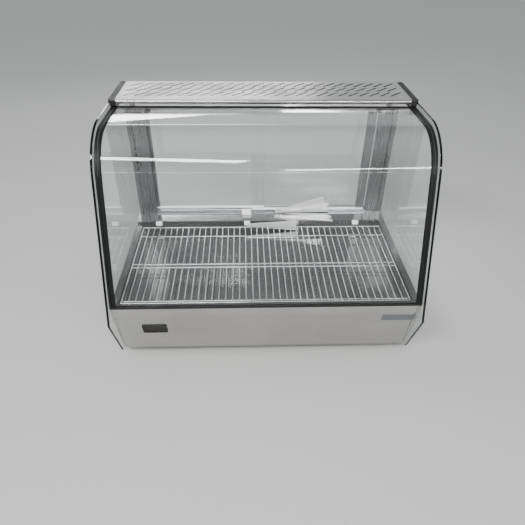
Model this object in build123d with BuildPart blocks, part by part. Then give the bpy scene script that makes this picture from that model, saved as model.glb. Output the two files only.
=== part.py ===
from build123d import *
import math
import os

# Countertop bakery display case with a curved front glass, millimetres.
# X runs along the front, +Y towards the rear, +Z up.
# The origin is at the bottom centre of the whole case.

# ---------------------------------------------------------------- overall size
WIDTH = 874.0
DEPTH = 568.0
HEIGHT = 680.0
FOOT_HEIGHT = 24.0

# ---------------------------------------------------------------- materials
SHEET = 1.2
PANE_THICK = 6.0
FRONT_GLASS_THICK = 5.0
DOOR_GLASS_THICK = 4.0

# ---------------------------------------------------------------- side profile
LEAN = math.radians(17.5)
KINK_DROP = 41.0
BEND_RADIUS = 140.0
STRIP_THICK = 6.0
PANE_CLEARANCE = 0.5
FRONT_GLASS_INSET = 14.0

# ---------------------------------------------------------------- base
DECK_HEIGHT = 227.0
LEDGE_RISE = 9.0
BAND_HEIGHT = 25.0
FASCIA_SETBACK = 26.0
FASCIA_RUN = 54.0
BASE_SIDE_GAP = 1.0
REAR_PANEL_SETBACK = 20.0
LEDGE_SETBACK = 2.0
WELL_DEPTH = 27.0
WELL_FRONT_MARGIN = 23.0
LEDGE_DEPTH = 95.0
WELL_SIDE_MARGIN = 18.0
WELL_STEP = 15.0
RACK_SEAT_DROP = 9.8

# ---------------------------------------------------------------- rear doors
DOOR_OVERLAP = 42.1
TRACK_SETBACK = 38.0
TRACK_DEPTH = 35.0
INNER_GROOVE_SETBACK = 10.0
GROOVE_PITCH = 14.0
GROOVE_WIDTH = 8.0
GLIDE_CLEARANCE = 0.5
POST_WIDTH = 60.5
POST_SETBACK = 2.0
STOP_WIDTH = 5.0
STILE_WIDTH = 28.0

# ---------------------------------------------------------------- canopy
CANOPY_DEPTH = 185.0
CANOPY_THICK = 25.0
STRIP_WIDTH = 18.0
TRIM_DEPTH = 9.0

# ---------------------------------------------------------------- worked out
half_width = WIDTH / 2
y_front = -DEPTH / 2
y_rear = DEPTH / 2
pane_inner = half_width - PANE_THICK
pane_top = HEIGHT - STRIP_THICK
base_half = pane_inner - BASE_SIDE_GAP
fascia_y = y_front + FASCIA_SETBACK
band_bottom = DECK_HEIGHT - BAND_HEIGHT
ledge = DECK_HEIGHT + LEDGE_RISE
kink_height = DECK_HEIGHT - KINK_DROP
rear_panel_y = y_rear - REAR_PANEL_SETBACK
rear_inner = rear_panel_y - SHEET
ledge_rear_y = y_rear - LEDGE_SETBACK
well_floor = DECK_HEIGHT - WELL_DEPTH
well_front_y = fascia_y + WELL_FRONT_MARGIN
well_rear_y = ledge_rear_y - LEDGE_DEPTH
well_half = base_half - WELL_SIDE_MARGIN
rack_seat = DECK_HEIGHT - RACK_SEAT_DROP
fit_half = pane_inner - PANE_CLEARANCE
post_inner_x = fit_half - POST_WIDTH
track_front_y = y_rear - TRACK_SETBACK
inner_track_y = track_front_y + INNER_GROOVE_SETBACK
outer_track_y = inner_track_y + GROOVE_PITCH
post_front_y = track_front_y + POST_SETBACK
canopy_front_y = y_rear - CANOPY_DEPTH
ceiling_height = HEIGHT - CANOPY_THICK
canopy_half = half_width - STRIP_WIDTH
trim_rear_y = canopy_front_y + TRIM_DEPTH

os.makedirs("parts", exist_ok=True)


def finish(piece, name):
    """Label a finished piece and write it as its own STEP file."""
    piece.label = name
    export_step(piece, f"parts/{name}.step")


def slab(x0, x1, y0, y1, z0, z1, mode=Mode.ADD):
    """Rectangular block between two corners, added to the part being built."""
    with Locations(((x0 + x1) / 2, (y0 + y1) / 2, (z0 + z1) / 2)):
        Box(x1 - x0, y1 - y0, z1 - z0, mode=mode)


def lean_y(inset, z):
    """Depth of the leaning front line at height z, set in by inset."""
    return y_front + inset / math.cos(LEAN) + (z - kink_height) * math.tan(LEAN)


def front_corners(inset, z_low, y_end):
    """Corner points of the front line: foot, sharp upper corner, end on the roof."""
    roof = pane_top - inset
    return (lean_y(inset, z_low), z_low), (lean_y(inset, roof), roof), (y_end, roof)


def bent_sheet(inset, thickness, z_low, y_end, x0, x1):
    """Sheet bent parallel to the front of the side pane, set in by inset."""
    with BuildPart() as sheet:
        with BuildSketch(Plane.YZ.offset(x0)):
            with BuildLine():
                outer = FilletPolyline(*front_corners(inset, z_low, y_end), radius=BEND_RADIUS - inset)
                inner = FilletPolyline(
                    *front_corners(inset + thickness, z_low, y_end),
                    radius=BEND_RADIUS - inset - thickness,
                )
                Line(outer @ 0, inner @ 0)
                Line(outer @ 1, inner @ 1)
            make_face()
        extrude(amount=x1 - x0)
    return sheet.part


# ================================================================= side panes
# Toughened glass, cut to the whole side profile, base included.
PANE_FOOT_GAP = 2.0
PANE_FOOT_SETBACK = 68.0
PANE_CORNER_RADIUS = 4.0

pane_bottom = FOOT_HEIGHT + PANE_FOOT_GAP
pane_foot_y = y_front + PANE_FOOT_SETBACK
pane_outline = [
    (y_rear, pane_bottom),
    (pane_foot_y, pane_bottom),
    (y_front, kink_height),
    (lean_y(0, pane_top), pane_top),
    (y_rear, pane_top),
]
for side, x_start in (("left", -half_width), ("right", pane_inner)):
    with BuildPart() as side_pane:
        with BuildSketch(Plane.YZ.offset(x_start)) as pane_face:
            Polygon(*pane_outline, align=None)
            front_vertex = pane_face.vertices().group_by(Axis.Y)[-1].sort_by(Axis.X)[0]
            fillet(front_vertex, radius=BEND_RADIUS)
            fillet(pane_face.vertices().group_by(Axis.Y)[0], radius=PANE_CORNER_RADIUS)
        extrude(amount=PANE_THICK)
    finish(side_pane.part, f"{side}_side_pane")

# ================================================================= front glass
# One toughened sheet, bent once between the leaning front and the flat roof.
SILL_BASE = 3.0
GLASS_EDGE_BITE = 4.0
SEAL_WIDTH = 15.0
SEAL_LIP = 4.0
SILL_HEIGHT = 6.0
SILL_DEPTH = 18.0

glass_low = DECK_HEIGHT + SILL_BASE
glass_half = fit_half - GLASS_EDGE_BITE
front_glass = bent_sheet(
    FRONT_GLASS_INSET, FRONT_GLASS_THICK, glass_low, trim_rear_y, -glass_half, glass_half
)
finish(front_glass, "curved_front_glass")

# ================================================================= side seals
# Black rubber channels, one over each side edge of the front glass.
seal_inset = FRONT_GLASS_INSET - SEAL_LIP
seal_thick = FRONT_GLASS_THICK + 2 * SEAL_LIP
sill_top = DECK_HEIGHT + SILL_HEIGHT
for side, sign in (("left", -1), ("right", 1)):
    x_low = min(sign * fit_half, sign * (fit_half - SEAL_WIDTH))
    blank = bent_sheet(seal_inset, seal_thick, sill_top, trim_rear_y, x_low, x_low + SEAL_WIDTH)
    with BuildPart() as side_seal:
        add(blank)
        add(front_glass, mode=Mode.SUBTRACT)
    finish(side_seal.part, f"{side}_side_seal")

# ================================================================= sill gasket
# Rubber sill on the deck flange that the lower edge of the glass stands in.
SILL_EDGE_RADIUS = 1.0

with BuildPart() as sill_gasket:
    slab(-fit_half, fit_half, fascia_y, fascia_y + SILL_DEPTH, DECK_HEIGHT, sill_top)
    fillet(sill_gasket.edges().filter_by(Axis.X).group_by(Axis.Z)[-1], radius=SILL_EDGE_RADIUS)
    add(front_glass, mode=Mode.SUBTRACT)
finish(sill_gasket.part, "sill_gasket")

# ================================================================= canopy front
# Polished trim, its gasket on the glass, and the folded rail that carries both.
GASKET_THICK = 1.5
RAIL_REACH = 8.0
TRIM_BEAD = 2.0
TRIM_BEAD_FROM_TOP = 7.0

glass_roof = pane_top - FRONT_GLASS_INSET
trim_low = glass_roof + GASKET_THICK
rail_rear_y = trim_rear_y + RAIL_REACH
rail_half = fit_half - SEAL_WIDTH - PANE_CLEARANCE

with BuildPart() as top_glass_gasket:
    slab(-rail_half, rail_half, canopy_front_y, trim_rear_y, glass_roof, trim_low)
finish(top_glass_gasket.part, "top_glass_gasket")

bead_z = HEIGHT - TRIM_BEAD_FROM_TOP
with BuildPart() as front_trim:
    with BuildSketch(Plane.YZ.offset(-rail_half)):
        with BuildLine():
            Polyline(
                (trim_rear_y, HEIGHT),
                (canopy_front_y + TRIM_BEAD, HEIGHT),
                (canopy_front_y, bead_z + TRIM_BEAD),
            )
            ThreePointArc(
                (canopy_front_y, bead_z + TRIM_BEAD),
                (canopy_front_y + TRIM_BEAD, bead_z),
                (canopy_front_y, bead_z - TRIM_BEAD),
            )
            Polyline(
                (canopy_front_y, bead_z - TRIM_BEAD),
                (canopy_front_y, trim_low),
                (trim_rear_y, trim_low),
                (trim_rear_y, HEIGHT),
            )
        make_face()
    extrude(amount=2 * rail_half)
finish(front_trim.part, "canopy_front_trim")

rail_lip_top = glass_roof - FRONT_GLASS_THICK
with BuildPart() as front_rail:
    slab(-rail_half, rail_half, canopy_front_y, rail_rear_y, rail_lip_top - SHEET, rail_lip_top)
    slab(-rail_half, rail_half, rail_rear_y - SHEET, rail_rear_y, rail_lip_top, HEIGHT - SHEET)
finish(front_rail.part, "canopy_front_rail")

# ================================================================= canopy top
# Folded stainless cover with three rows of slanted warm-air slots.
VENT_PITCH = 30.7
VENT_COUNT = 26
VENT_LENGTH = 51.0
VENT_WIDTH = 5.0
VENT_ANGLE = 43.5
VENT_ROWS = 3
VENT_ROW_PITCH = 45.0
VENT_SETBACK = 60.0

ceiling_top = ceiling_height + SHEET
rows_centre_y = canopy_front_y + VENT_SETBACK + VENT_ROW_PITCH * (VENT_ROWS - 1) / 2
with BuildPart() as canopy_top:
    slab(-canopy_half, canopy_half, trim_rear_y, y_rear, ceiling_top, HEIGHT)
    slab(
        -canopy_half + SHEET, canopy_half - SHEET, trim_rear_y - SHEET, y_rear - SHEET,
        ceiling_top - SHEET, HEIGHT - SHEET, mode=Mode.SUBTRACT,
    )
    with BuildSketch(Plane.XY.offset(HEIGHT)):
        with Locations((0, rows_centre_y)):
            with GridLocations(VENT_PITCH, VENT_ROW_PITCH, VENT_COUNT, VENT_ROWS):
                Rectangle(VENT_LENGTH, VENT_WIDTH, rotation=VENT_ANGLE)
    extrude(amount=-SHEET, mode=Mode.SUBTRACT)
finish(canopy_top.part, "canopy_top_panel")

with BuildPart() as ceiling:
    slab(-fit_half, fit_half, rail_rear_y, ledge_rear_y, ceiling_height, ceiling_top)
finish(ceiling.part, "canopy_ceiling")

# ================================================================= canopy sides
# Plastic strips over the top edges of the side panes, and caps on the trim.
CAP_LEAD = 2.0
STRIP_GAP = 0.2
CAP_RADIUS = 2.5

seal_top = pane_top - seal_inset
for side, sign in (("left", -1), ("right", 1)):
    cap_x = sorted((sign * rail_half, sign * fit_half))
    with BuildPart() as end_cap:
        slab(*cap_x, canopy_front_y - CAP_LEAD, trim_rear_y, seal_top, HEIGHT)
        fillet(end_cap.edges().filter_by(Axis.X).group_by(Axis.Y)[0], radius=CAP_RADIUS)
    finish(end_cap.part, f"{side}_trim_end_cap")
    strip_x = sorted((sign * (canopy_half + STRIP_GAP), sign * half_width))
    leg_x = sorted((sign * (canopy_half + STRIP_GAP), sign * fit_half))
    with BuildPart() as side_strip:
        slab(*strip_x, trim_rear_y, y_rear, pane_top, HEIGHT)
        slab(*leg_x, trim_rear_y, y_rear, ceiling_top, pane_top)
    finish(side_strip.part, f"{side}_canopy_strip")

# ================================================================= cabin lamp
# Lamp tube under the ceiling between two holders.
LAMP_RADIUS = 8.0
LAMP_SIDE_MARGIN = 100.5
LAMP_SETBACK = 51.0
LAMP_DROP = 15.0
HOLDER_THICK = 14.0
HOLDER_DEPTH = 24.0
HOLDER_HEIGHT = 25.0

lamp_half = fit_half - LAMP_SIDE_MARGIN
lamp_y = canopy_front_y + LAMP_SETBACK
with BuildPart() as lamp_tube:
    with BuildSketch(Plane.YZ.offset(-lamp_half)):
        with Locations((lamp_y, ceiling_height - LAMP_DROP)):
            Circle(LAMP_RADIUS)
    extrude(amount=2 * lamp_half)
finish(lamp_tube.part, "lamp_tube")

with BuildPart() as lamp_holders:
    for sign in (-1, 1):
        holder_x = sorted((sign * lamp_half, sign * (lamp_half + HOLDER_THICK)))
        slab(
            *holder_x, lamp_y - HOLDER_DEPTH / 2, lamp_y + HOLDER_DEPTH / 2,
            ceiling_height - HOLDER_HEIGHT, ceiling_height,
        )
finish(lamp_holders.part, "lamp_holders")

# ================================================================= door tracks
# Extruded double channels, one on the rear ledge and one under the ceiling.
TRACK_BASE = 2.0
LOWER_TRACK_HEIGHT = 9.0
UPPER_TRACK_HEIGHT = 17.0
UPPER_TRACK_WEB = 3.0

track_rear_y = track_front_y + TRACK_DEPTH
track_top = ledge + LOWER_TRACK_HEIGHT
track_floor = ledge + TRACK_BASE
upper_low = ceiling_height - UPPER_TRACK_HEIGHT
upper_roof = ceiling_height - UPPER_TRACK_WEB
track_half = post_inner_x - PANE_CLEARANCE
groove_half = GROOVE_WIDTH / 2

with BuildPart() as lower_track:
    slab(-fit_half, fit_half, post_front_y + SHEET, track_rear_y, ledge, track_top)
    slab(-track_half, track_half, track_front_y, post_front_y + SHEET, ledge, track_top)
    for groove_y in (inner_track_y, outer_track_y):
        slab(
            -fit_half, fit_half, groove_y - groove_half, groove_y + groove_half,
            track_floor, track_top, mode=Mode.SUBTRACT,
        )
finish(lower_track.part, "lower_door_track")

with BuildPart() as upper_track:
    slab(-fit_half, fit_half, post_front_y + SHEET, track_rear_y, upper_low, ceiling_height)
    slab(-track_half, track_half, track_front_y, post_front_y + SHEET, upper_low, ceiling_height)
    for groove_y in (inner_track_y, outer_track_y):
        slab(
            -fit_half, fit_half, groove_y - groove_half, groove_y + groove_half,
            upper_low, upper_roof, mode=Mode.SUBTRACT,
        )
finish(upper_track.part, "upper_door_track")

# ================================================================= rear posts
# Folded stainless channels with a column of slots for shelf brackets.
SLOT_WIDTH = 4.0
SLOT_LENGTH = 14.0
SLOT_PITCH = 25.0
SLOT_COUNT = 14
SLOT_FROM_EDGE = 16.0
POST_LIP = 12.0
POST_RETURN = 36.0

post_mid_z = (track_top + upper_low) / 2
for side, sign in (("left", -1), ("right", 1)):
    web_x = sorted((sign * post_inner_x, sign * fit_half))
    skin_x = sorted((sign * (fit_half - SHEET), sign * fit_half))
    lip_x = sorted((sign * post_inner_x, sign * (post_inner_x + SHEET)))
    return_x = sorted((sign * (fit_half - POST_RETURN), sign * fit_half))
    with BuildPart() as rear_post:
        slab(*web_x, post_front_y, post_front_y + SHEET, ledge, ceiling_height)
        slab(*skin_x, post_front_y, ledge_rear_y, track_top, upper_low)
        slab(*lip_x, post_front_y, post_front_y + POST_LIP, track_top, upper_low)
        slab(*return_x, ledge_rear_y - SHEET, ledge_rear_y, track_top, upper_low)
        with BuildSketch(Plane.XZ.offset(-post_front_y)):
            with Locations((sign * (fit_half - SLOT_FROM_EDGE), post_mid_z)):
                with GridLocations(SLOT_PITCH, SLOT_PITCH, 1, SLOT_COUNT):
                    Rectangle(SLOT_WIDTH, SLOT_LENGTH)
        extrude(amount=-SHEET, mode=Mode.SUBTRACT)
    finish(rear_post.part, f"{side}_rear_post")

# ================================================================= sliding doors
# Each door is a glass sheet with a grip stile and nylon glides in the grooves.
GLIDE_HEIGHT = 11.0
GLIDE_FLOOR_GAP = 0.4
GLIDE_BITE = 4.0
TOP_GLIDE_HEIGHT = 8.0
TOP_GLIDE_DEPTH = 6.0
STILE_DEPTH = 9.0
STILE_GAP = 0.5
GRIP_DEPTH = 2.0
GRIP_WIDTH = 12.0
GLASS_IN_STILE = 12.0
DOOR_STOP_GAP = 0.3

inner_close = post_inner_x - STOP_WIDTH - DOOR_STOP_GAP
outer_close = fit_half - POST_RETURN - STOP_WIDTH - DOOR_STOP_GAP
door_width = (inner_close + outer_close + DOOR_OVERLAP) / 2
glide_half = groove_half - GLIDE_CLEARANCE
glide_low = track_floor + GLIDE_FLOOR_GAP
glide_top = glide_low + GLIDE_HEIGHT
top_glide_low = upper_low - TOP_GLIDE_HEIGHT + TOP_GLIDE_DEPTH
top_glide_top = upper_low + TOP_GLIDE_DEPTH
door_layout = (
    ("left", outer_track_y, -outer_close, -outer_close + door_width, 1),
    ("right", inner_track_y, inner_close - door_width, inner_close, -1),
)
for side, door_y, x0, x1, inward in door_layout:
    grip_edge = x0 if inward > 0 else x1
    glass_edge = grip_edge + inward * (STILE_WIDTH - GLASS_IN_STILE)
    far_edge = x1 if inward > 0 else x0
    glass_x = sorted((glass_edge, far_edge))
    stile_x = sorted((grip_edge, grip_edge + inward * STILE_WIDTH))
    half_glass = DOOR_GLASS_THICK / 2
    with BuildPart() as door_glass:
        slab(
            *glass_x, door_y - half_glass, door_y + half_glass,
            glide_low + GLIDE_BITE, top_glide_top - GLIDE_BITE,
        )
    finish(door_glass.part, f"{side}_door_glass")
    with BuildPart() as door_glides:
        slab(x0, x1, door_y - glide_half, door_y + glide_half, glide_low, glide_top)
        slab(x0, x1, door_y - glide_half, door_y + glide_half, top_glide_low, top_glide_top)
        add(door_glass.part, mode=Mode.SUBTRACT)
    finish(door_glides.part, f"{side}_door_glides")
    with BuildPart() as door_stile:
        slab(
            *stile_x, door_y - STILE_DEPTH / 2, door_y + STILE_DEPTH / 2,
            glide_top + STILE_GAP, top_glide_low - STILE_GAP,
        )
        grip_x = grip_edge + inward * (STILE_WIDTH - GLASS_IN_STILE) / 2
        slab(
            grip_x - GRIP_WIDTH / 2, grip_x + GRIP_WIDTH / 2,
            door_y + STILE_DEPTH / 2 - GRIP_DEPTH, door_y + STILE_DEPTH / 2,
            glide_top + STILE_GAP, top_glide_low - STILE_GAP, mode=Mode.SUBTRACT,
        )
        add(door_glass.part, mode=Mode.SUBTRACT)
    finish(door_stile.part, f"{side}_door_stile")

# Rubber stops in the grooves and the guide between the two doors.
STOP_HEIGHT = 6.0
GUIDE_X = -54.0
GUIDE_WIDTH = 32.0
GUIDE_DEPTH = 18.0
GUIDE_HEIGHT = 15.0
GUIDE_CHAMFER = 2.0

with BuildPart() as door_stops:
    for stop_x, stop_y in (
        (inner_close + DOOR_STOP_GAP, inner_track_y),
        (-inner_close - DOOR_STOP_GAP - STOP_WIDTH, inner_track_y),
        (outer_close + DOOR_STOP_GAP, outer_track_y),
        (-outer_close - DOOR_STOP_GAP - STOP_WIDTH, outer_track_y),
    ):
        slab(
            stop_x, stop_x + STOP_WIDTH, stop_y - groove_half, stop_y + groove_half,
            track_floor, track_floor + STOP_HEIGHT,
        )
finish(door_stops.part, "door_stops")

with BuildPart() as centre_guide:
    slab(
        GUIDE_X - GUIDE_WIDTH / 2, GUIDE_X + GUIDE_WIDTH / 2,
        track_front_y - GUIDE_DEPTH, track_front_y, ledge, ledge + GUIDE_HEIGHT,
    )
    chamfer(centre_guide.edges().group_by(Axis.Z)[-1], length=GUIDE_CHAMFER)
finish(centre_guide.part, "door_centre_guide")

# ================================================================= base casing
# Polished fascia: an upright band, then a panel that slants back to the foot.
DISPLAY_FROM_SIDE = 109.0
DISPLAY_DOWN = 70.0
DISPLAY_CUT = (64.0, 33.0)
DISPLAY_CUT_DEPTH = 3 * SHEET
fascia_foot_y = fascia_y + FASCIA_RUN
slant_drop = band_bottom - FOOT_HEIGHT
slant_length = math.hypot(FASCIA_RUN, slant_drop)
slant_cos = slant_drop / slant_length
slant_sin = FASCIA_RUN / slant_length


def slant_plane(x, down):
    """Plane on the slanting panel, down millimetres below its upper fold."""
    origin = (x, fascia_y + down * slant_sin, band_bottom - down * slant_cos)
    return Plane(origin=origin, x_dir=(1, 0, 0), z_dir=(0, -slant_cos, -slant_sin))


display_plane = slant_plane(DISPLAY_FROM_SIDE - base_half, DISPLAY_DOWN)
with BuildPart() as fascia:
    with BuildSketch(Plane.YZ.offset(-base_half)):
        with BuildLine():
            Polyline((fascia_y, DECK_HEIGHT), (fascia_y, band_bottom), (fascia_foot_y, FOOT_HEIGHT))
            offset(amount=SHEET, side=Side.LEFT, kind=Kind.INTERSECTION)
        make_face()
    extrude(amount=2 * base_half)
    with BuildSketch(display_plane.offset(SHEET)):
        Rectangle(*DISPLAY_CUT)
    extrude(amount=-DISPLAY_CUT_DEPTH, mode=Mode.SUBTRACT)
finish(fascia.part, "front_fascia")

# Base sides and floor, folded sheet behind the fascia.
FLANGE_DEPTH = 14.0
FLANGE_GAP = 16.0
FLANGE_TOP_GAP = 12.0
SCREW_FROM_FOOT = 36.0
SCREW_FROM_DECK = 31.0
SCREW_FROM_SIDE = 8.0
SCREW_HOLE = 2.0
FOOT_FROM_SIDE = 60.0
FOOT_FROM_FASCIA = 108.0
FOOT_FROM_REAR = 39.0
VENT_SLOT = (60.0, 5.0)
FLOOR_VENT_PITCH = (90.0, 16.0)
FLOOR_VENT_COUNT = (5, 3)

foot_x = base_half - FOOT_FROM_SIDE
foot_rows = (fascia_y + FOOT_FROM_FASCIA, rear_panel_y - FOOT_FROM_REAR)
foot_places = [(x, y) for x in (-foot_x, foot_x) for y in foot_rows]
floor_top = FOOT_HEIGHT + SHEET
side_half = base_half - SHEET
deck_under = DECK_HEIGHT - SHEET
ledge_under = ledge - SHEET
skin_run = SHEET / slant_cos


def slant_y(z):
    """Depth of the fascia's inner face at height z on the slanting panel."""
    return fascia_y + (band_bottom - z) * slant_sin / slant_cos + skin_run


inner_fold_z = band_bottom + SHEET * math.tan(math.atan2(slant_sin, slant_cos) / 2)
side_outline = [
    (fascia_y + SHEET, deck_under),
    (fascia_y + SHEET, inner_fold_z),
    (slant_y(floor_top), floor_top),
    (rear_inner, floor_top),
    (rear_inner, ledge_under),
    (well_rear_y + SHEET, ledge_under),
    (well_rear_y + SHEET, deck_under),
]
screw_x = base_half - SCREW_FROM_SIDE
low_screw = FOOT_HEIGHT + SCREW_FROM_FOOT
high_screw = DECK_HEIGHT - SCREW_FROM_DECK
screw_rows = (low_screw, (low_screw + high_screw) / 2, high_screw)
screw_places = [(sign * screw_x, z) for sign in (-1, 1) for z in screw_rows]
flange_z = (FOOT_HEIGHT + FLANGE_GAP, DECK_HEIGHT - FLANGE_TOP_GAP)
for side, sign in (("left", -1), ("right", 1)):
    skin_x = sorted((sign * side_half, sign * base_half))
    flange_x = sorted((sign * (side_half - FLANGE_DEPTH), sign * side_half))
    with BuildPart() as base_side:
        with BuildSketch(Plane.YZ.offset(skin_x[0])):
            Polygon(*side_outline, align=None)
        extrude(amount=SHEET)
        slab(*flange_x, rear_inner - SHEET, rear_inner, *flange_z)
        with BuildSketch(Plane.XZ.offset(-rear_inner)):
            with Locations(*[place for place in screw_places if place[0] * sign > 0]):
                Circle(SCREW_HOLE)
        extrude(amount=SHEET, mode=Mode.SUBTRACT)
    finish(base_side.part, f"{side}_base_side")

with BuildPart() as base_floor:
    slab(-base_half, base_half, slant_y(FOOT_HEIGHT), rear_inner, FOOT_HEIGHT, floor_top)
    with BuildSketch(Plane.XY.offset(floor_top)):
        with GridLocations(*FLOOR_VENT_PITCH, *FLOOR_VENT_COUNT):
            Rectangle(*VENT_SLOT)
    extrude(amount=-SHEET, mode=Mode.SUBTRACT)
finish(base_floor.part, "base_floor")

# ================================================================= feet
FOOT_RADIUS = 20.0
FOOT_TIP_RADIUS = 17.0
SCREW_HEAD_RADIUS = 5.0
SCREW_HEAD_HEIGHT = 2.5
REAR_SCREW_LENGTH = 8.0

with BuildPart() as rubber_feet:
    with BuildSketch(Plane.XY):
        with Locations(*foot_places):
            Circle(FOOT_TIP_RADIUS)
    foot_taper = math.degrees(math.atan((FOOT_TIP_RADIUS - FOOT_RADIUS) / FOOT_HEIGHT))
    extrude(amount=FOOT_HEIGHT, taper=foot_taper)
finish(rubber_feet.part, "rubber_feet")

# ================================================================= deck pan
# One folded pan: front and side flanges, the stepped well and the rear ledge.
step_x = well_half - WELL_STEP
with BuildPart() as deck_pan:
    slab(-base_half, base_half, fascia_y + SHEET, well_rear_y, deck_under, DECK_HEIGHT)
    slab(-base_half, base_half, well_rear_y, well_rear_y + SHEET, deck_under, ledge)
    slab(-base_half, base_half, well_rear_y, ledge_rear_y, ledge_under, ledge)
    slab(
        -well_half - SHEET, well_half + SHEET, well_front_y - SHEET, well_rear_y + SHEET,
        rack_seat - SHEET, DECK_HEIGHT,
    )
    slab(
        -step_x - SHEET, step_x + SHEET, well_front_y - SHEET, well_rear_y + SHEET,
        well_floor - SHEET, rack_seat,
    )
    slab(
        -well_half, well_half, well_front_y, well_rear_y, rack_seat, DECK_HEIGHT,
        mode=Mode.SUBTRACT,
    )
    slab(
        -step_x, step_x, well_front_y, well_rear_y, well_floor, rack_seat,
        mode=Mode.SUBTRACT,
    )
finish(deck_pan.part, "deck_pan")

# Silicone pads that bed the side panes on the base sides.
PAD_HEIGHT = 16.0
PAD_INSET = 12.0
with BuildPart() as pane_pads:
    for sign in (-1, 1):
        pad_x = sorted((sign * base_half, sign * pane_inner))
        pad_front = fascia_y + PAD_INSET
        slab(*pad_x, pad_front, rear_inner, DECK_HEIGHT - PAD_HEIGHT, DECK_HEIGHT)
finish(pane_pads.part, "side_pane_pads")

# ================================================================= wire rack
# Long wires welded across four cross wires and two frame wires, kept eight-sided.
WIRE_RADIUS = 1.8
WIRE_COUNT = 43
RACK_SIDE_GAP = 6.0
RACK_FRONT_GAP = 5.0
RACK_REAR_GAP = 23.0
FRAME_WIRE_RADIUS = 2.4
CROSS_WIRE_RADIUS = 2.3
CROSS_FROM_FRONT = 13.0
CROSS_FROM_REAR = 50.0
CROSS_PAIR = (-27.0, -10.0)
WIRE_SIDES = 8
WIRE_TURN = 180.0 / WIRE_SIDES
RACK_LIFT_GAP = 0.3

cross_z = rack_seat + RACK_LIFT_GAP + CROSS_WIRE_RADIUS
wire_z = cross_z + CROSS_WIRE_RADIUS + WIRE_RADIUS
rack_half = well_half - RACK_SIDE_GAP
rack_front_y = well_front_y + RACK_FRONT_GAP
rack_rear_y = well_rear_y - RACK_REAR_GAP
rack_middle_y = (rack_front_y + rack_rear_y) / 2
cross_places = [rack_front_y + CROSS_FROM_FRONT, rack_rear_y - CROSS_FROM_REAR]
cross_places += [rack_middle_y + place for place in CROSS_PAIR]
wire_pitch = 2 * rack_half / (WIRE_COUNT - 1)
with BuildPart() as wire_rack:
    with BuildSketch(Plane.XZ.offset(-rack_front_y)):
        with Locations((0, wire_z)):
            with GridLocations(wire_pitch, wire_pitch, WIRE_COUNT, 1):
                RegularPolygon(WIRE_RADIUS, WIRE_SIDES, major_radius=False, rotation=WIRE_TURN)
    extrude(amount=rack_front_y - rack_rear_y)
    with BuildSketch(Plane.YZ.offset(-rack_half)):
        with Locations(*[(y, cross_z) for y in cross_places]):
            RegularPolygon(CROSS_WIRE_RADIUS, WIRE_SIDES, major_radius=False, rotation=WIRE_TURN)
        with Locations((rack_front_y, wire_z), (rack_rear_y, wire_z)):
            RegularPolygon(FRAME_WIRE_RADIUS, WIRE_SIDES, major_radius=False, rotation=WIRE_TURN)
    extrude(amount=2 * rack_half)
finish(wire_rack.part, "wire_rack")

# Nylon stops on the riser behind the rack.
RACK_STOP_PLACES = (-356.0, -52.0, 326.0)
RACK_STOP_WIDTH = 20.0
RACK_STOP_DEPTH = 8.0
RACK_STOP_HEIGHT = 13.0
with BuildPart() as rack_stops:
    for stop_x in RACK_STOP_PLACES:
        slab(
            stop_x - RACK_STOP_WIDTH / 2, stop_x + RACK_STOP_WIDTH / 2,
            well_rear_y - RACK_STOP_DEPTH, well_rear_y,
            ledge - RACK_STOP_HEIGHT, ledge,
        )
finish(rack_stops.part, "rack_stops")

# ================================================================= heating
# Tubular element looped under the pan, hung in clips over a shield.
ELEMENT_RADIUS = 4.0
ELEMENT_SIDES = 8
ELEMENT_DROP = 14.0
ELEMENT_BEND = 40.0
ELEMENT_OUTER_X = 330.0
ELEMENT_FROM_WELL = 55.0
ELEMENT_FROM_REAR = 30.8
CLIP_WIDTH = 16.0
CLIP_DEPTH = 8.0
CLIP_WALL = 2.0
SHIELD_DROP = 55.0
SHIELD_FROM_WELL = 23.0
SHIELD_FROM_REAR = 34.8

pan_under = well_floor - SHEET
element_z = pan_under - ELEMENT_DROP
element_front_y = well_front_y + ELEMENT_FROM_WELL
element_end_y = rear_inner - ELEMENT_FROM_REAR
element_route = [
    (-ELEMENT_OUTER_X, element_end_y, element_z),
    (-ELEMENT_OUTER_X, element_front_y, element_z),
    (ELEMENT_OUTER_X, element_front_y, element_z),
    (ELEMENT_OUTER_X, element_end_y, element_z),
]
with BuildPart() as heating_element:
    with BuildLine() as element_line:
        FilletPolyline(*element_route, radius=ELEMENT_BEND)
    with BuildSketch(Plane.XZ.offset(-element_end_y)):
        with Locations((-ELEMENT_OUTER_X, element_z)):
            RegularPolygon(ELEMENT_RADIUS, ELEMENT_SIDES)
    sweep(path=element_line.wire())
finish(heating_element.part, "heating_element")

clip_low = element_z - ELEMENT_RADIUS - CLIP_WALL
with BuildPart() as element_clips:
    for clip_x in (-ELEMENT_OUTER_X, ELEMENT_OUTER_X):
        slab(
            clip_x - CLIP_WIDTH / 2, clip_x + CLIP_WIDTH / 2,
            -CLIP_DEPTH / 2, CLIP_DEPTH / 2, clip_low, pan_under,
        )
    add(heating_element.part, mode=Mode.SUBTRACT)
finish(element_clips.part, "element_clips")

shield_z = well_floor - SHIELD_DROP
with BuildPart() as heat_shield:
    slab(
        -side_half, side_half, well_front_y + SHIELD_FROM_WELL, rear_inner - SHIELD_FROM_REAR,
        shield_z, shield_z + SHEET,
    )
finish(heat_shield.part, "heat_shield")

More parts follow.
